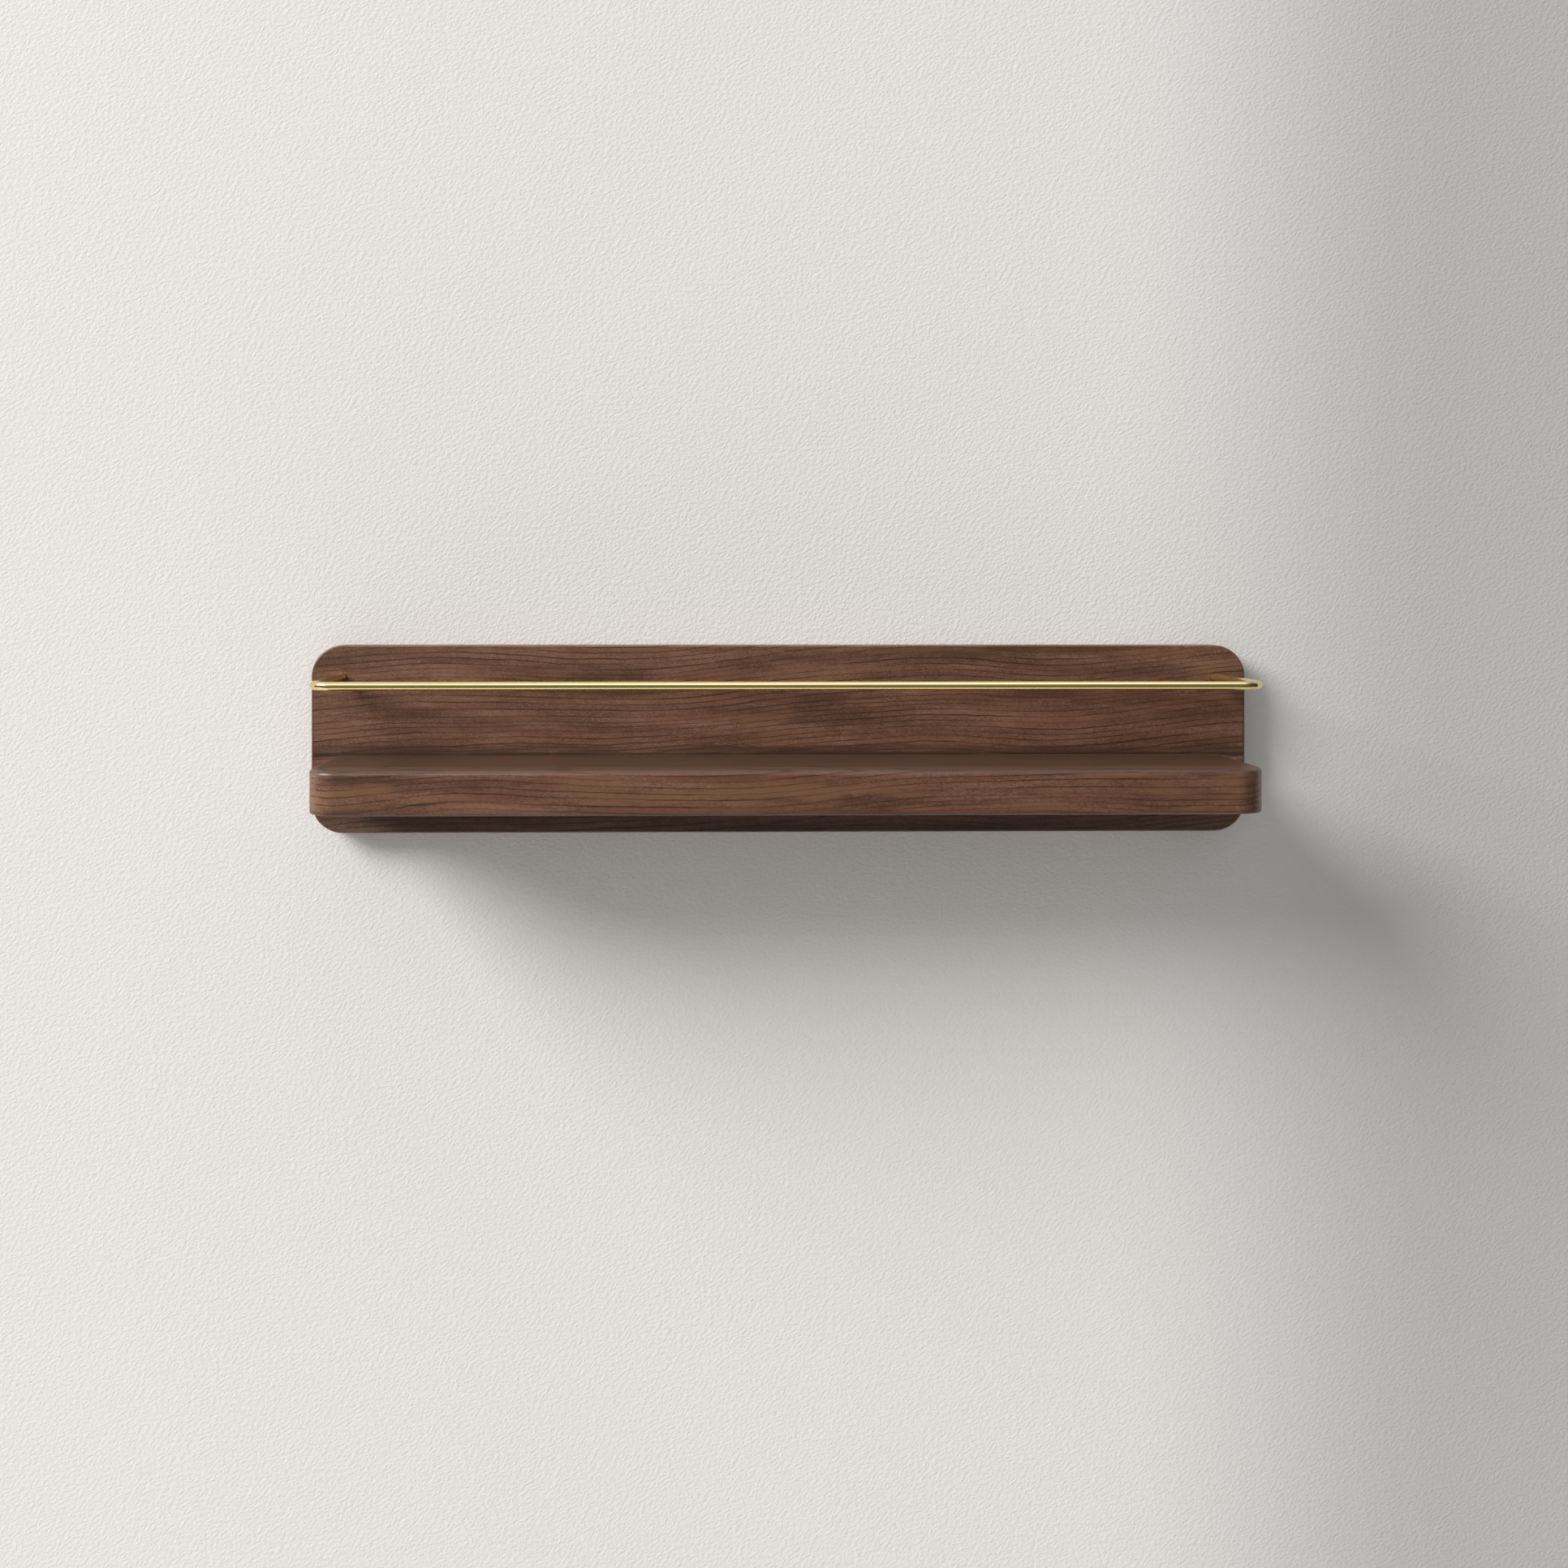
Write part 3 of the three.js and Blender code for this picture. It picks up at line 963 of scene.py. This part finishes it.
room = {
    "wall": linear(241, 239, 236),
    # colour of the painted shade on the wall's right
    "wallRightPaintedShade": linear(202, 201, 199),
    "wallShade": (200, 450),  # mm in X, where the painted shade on the wall's right starts and where it is full
    "wallDabs": (2.6, 2.3),  # mm across and up
    "wallRelief": 0.3 * mm,
    "floor": linear(222, 220, 216),
    "floorClouds": linear(204, 202, 198),
    "wallSize": 6.0,
    "wallY": 0.3 * mm,
    "wallInset": 1.5 * mm,  # how far the panel overlaps the opening behind it
    "floorZ": -1.25,
    "floorDepth": (-1.1, 2.5),
}


def makeWallPaint():
    paint = Paint("plaster")
    x, _, z = paint.place()
    wide, tall = room["wallDabs"]
    leaning = paint.vector((x - z * 0.5) / wide, 0.0, z / tall)
    dabs = paint.noise(leaning, detail=3.0, roughness=0.6)
    broad = paint.noise(paint.vector(x / 42, 0.0, z / 42), detail=2.0)
    height = dabs.step(0.3, 0.74) + broad * 0.5
    # painted shade: the wall darkens towards its right
    colour = paint.mix(x.step(*room["wallShade"]), room["wall"], room["wallRightPaintedShade"])
    front = paint.node("ShaderNodeBsdfDiffuse", sockets={
        "Color": colour,
        "Roughness": 0.6,
        "Normal": paint.bump(height, room["wallRelief"], 0.7),
    })
    behind = paint.node("ShaderNodeBsdfTransparent")
    side = paint.node("ShaderNodeNewGeometry", output="Backfacing")
    return paint.surface(paint.node("ShaderNodeMixShader", sockets={0: side, 1: front, 2: behind}))


def makeFloorPaint():
    paint = Paint("floor")
    x, y, _ = paint.place()
    cloud = paint.noise(paint.vector(x / 300, y / 300, 0.0), detail=2.0)
    colour = paint.mix(cloud * 0.15, room["floor"], room["floorClouds"])
    return paint.principled(Base_Color=colour, Roughness=0.7)


def addStage(name, bm, material):
    obj = bpy.data.objects.new(name, meshFrom(bm, name))
    obj.data.materials.append(material)
    bpy.context.scene.collection.objects.link(obj)


def makeWall():  # open behind the panel, so that the panel's back is lit too
    half = room["wallSize"] / 2
    low = room["floorZ"]
    high = low + room["wallSize"]
    bm = bmesh.new()
    outer = [(-half, low), (half, low), (half, high), (-half, high)]
    inset = room["wallInset"]
    inner = [
        (x * (panelHigh.x - inset), z * (panelHigh.z - inset))
        for x, z in ((-1, -1), (1, -1), (1, 1), (-1, 1))
    ]
    for corners in (outer, inner):
        face = bm.faces.new([bm.verts.new((x, room["wallY"], z)) for x, z in corners])
    bmesh.ops.bevel(
        bm, geom=list(face.verts), offset=panel["corner"] - inset, segments=12,
        affect="VERTICES", profile=0.5, material=-1,
    )
    bmesh.ops.delete(bm, geom=bm.faces[:], context="FACES_ONLY")
    bmesh.ops.triangle_fill(bm, use_beauty=True, edges=bm.edges, normal=(0, -1, 0))
    for face in bm.faces:
        if face.normal.y > 0:
            face.normal_flip()
    addStage("wall", bm, makeWallPaint())


def makeRoom():
    makeWall()
    half = room["wallSize"] / 2
    low = room["floorZ"]
    near, far = room["floorDepth"]
    bm = bmesh.new()
    corners = [(-half, near, low), (half, near, low), (half, far, low), (-half, far, low)]
    bm.faces.new([bm.verts.new(corner) for corner in corners])
    addStage("floor", bm, makeFloorPaint())


makeRoom()

lights = {
    "key": {
        "from": (-2.67, -1.45, 1.9),
        "to": (-0.2, 0.0, 0.0),
        "power": 153,
        "size": (2.1, 1.8),
        "colour": (1.0, 0.998, 0.99),
    },
    "back": {
        "from": (0.9, 1.6, 1.1),
        "to": (0.0, 0.0, 0.0),
        "power": 24,
        "size": (1.2, 1.2),
        "colour": (1.0, 1.0, 1.0),
    },
}


def makeLight(name, look):
    data = bpy.data.lights.new(name, "AREA")
    data.shape = "ELLIPSE"
    data.size, data.size_y = look["size"]
    data.energy = look["power"]
    data.color = look["colour"]
    obj = bpy.data.objects.new(name, data)
    obj.location = look["from"]
    aim = Vector(look["to"]) - Vector(look["from"])
    obj.rotation_euler = aim.to_track_quat("-Z", "Y").to_euler()
    bpy.context.scene.collection.objects.link(obj)


for name, look in lights.items():
    makeLight(name, look)


sky = {  # brightness by height above the horizon, in degrees
    "strength": 2.2,
    "backdrop": 0.74,
    "fill": [(-90, 0.32), (-20, 0.32), (15, 0.55), (90, 0.6)],
    "mirrored": [
        (-90, 0.5), (-60, 0.38), (-36, 0.2), (-20, 0.08), (-4, 0.08), (12, 0.26),
        (34, 0.45), (48, 2.1), (61, 2.1), (75, 1.1), (90, 0.75),
    ],
    "slant": 0.23,  # how far the mirrored bands climb towards the right
    "rightDim": 0.65,
    "sideDim": 0.7,
    "mirroredRightDim": 0.3,
}


def makeSky():
    world = bpy.data.worlds.new("studio")
    bpy.context.scene.world = world
    paint = Paint("studio", world)
    split = paint.node("ShaderNodeSeparateXYZ", sockets={
        0: paint.node("ShaderNodeTexCoord", output="Generated"),
    }).socket.node
    across = Signal(paint, split.outputs[0])
    up = Signal(paint, split.outputs[2])

    def brightness(rows, slant=0.0):
        stops = []
        for degrees, value in rows:
            level = value / sky["strength"]
            stops.append(((math.sin(math.radians(degrees)) + 1) / 2, (level, level, level, 1.0)))
        height = up * 0.5 - across * slant + 0.5
        return paint.node("ShaderNodeValToRGB", {"stops": stops}, {"Fac": height})

    fill = brightness(sky["fill"]) * (1 - across.step(-0.1, 0.9) * sky["rightDim"])
    sides = 1 - across.size().step(0.45, 0.9) * sky["sideDim"]
    right = 1 - across.step(0.05, 0.4) * sky["mirroredRightDim"]
    mirrored = brightness(sky["mirrored"], sky["slant"]) * sides * right
    backdrop = sky["backdrop"] / sky["strength"]
    glossy = paint.node("ShaderNodeLightPath", output="Is Glossy Ray")
    seen = paint.node("ShaderNodeLightPath", output="Is Camera Ray")
    light = fill * (1 - glossy) + mirrored * glossy
    light = light * (1 - seen) + seen * backdrop
    sockets = {"Color": light, "Strength": sky["strength"]}
    paint.surface(paint.node("ShaderNodeBackground", sockets=sockets))


makeSky()
print("room and lights made")
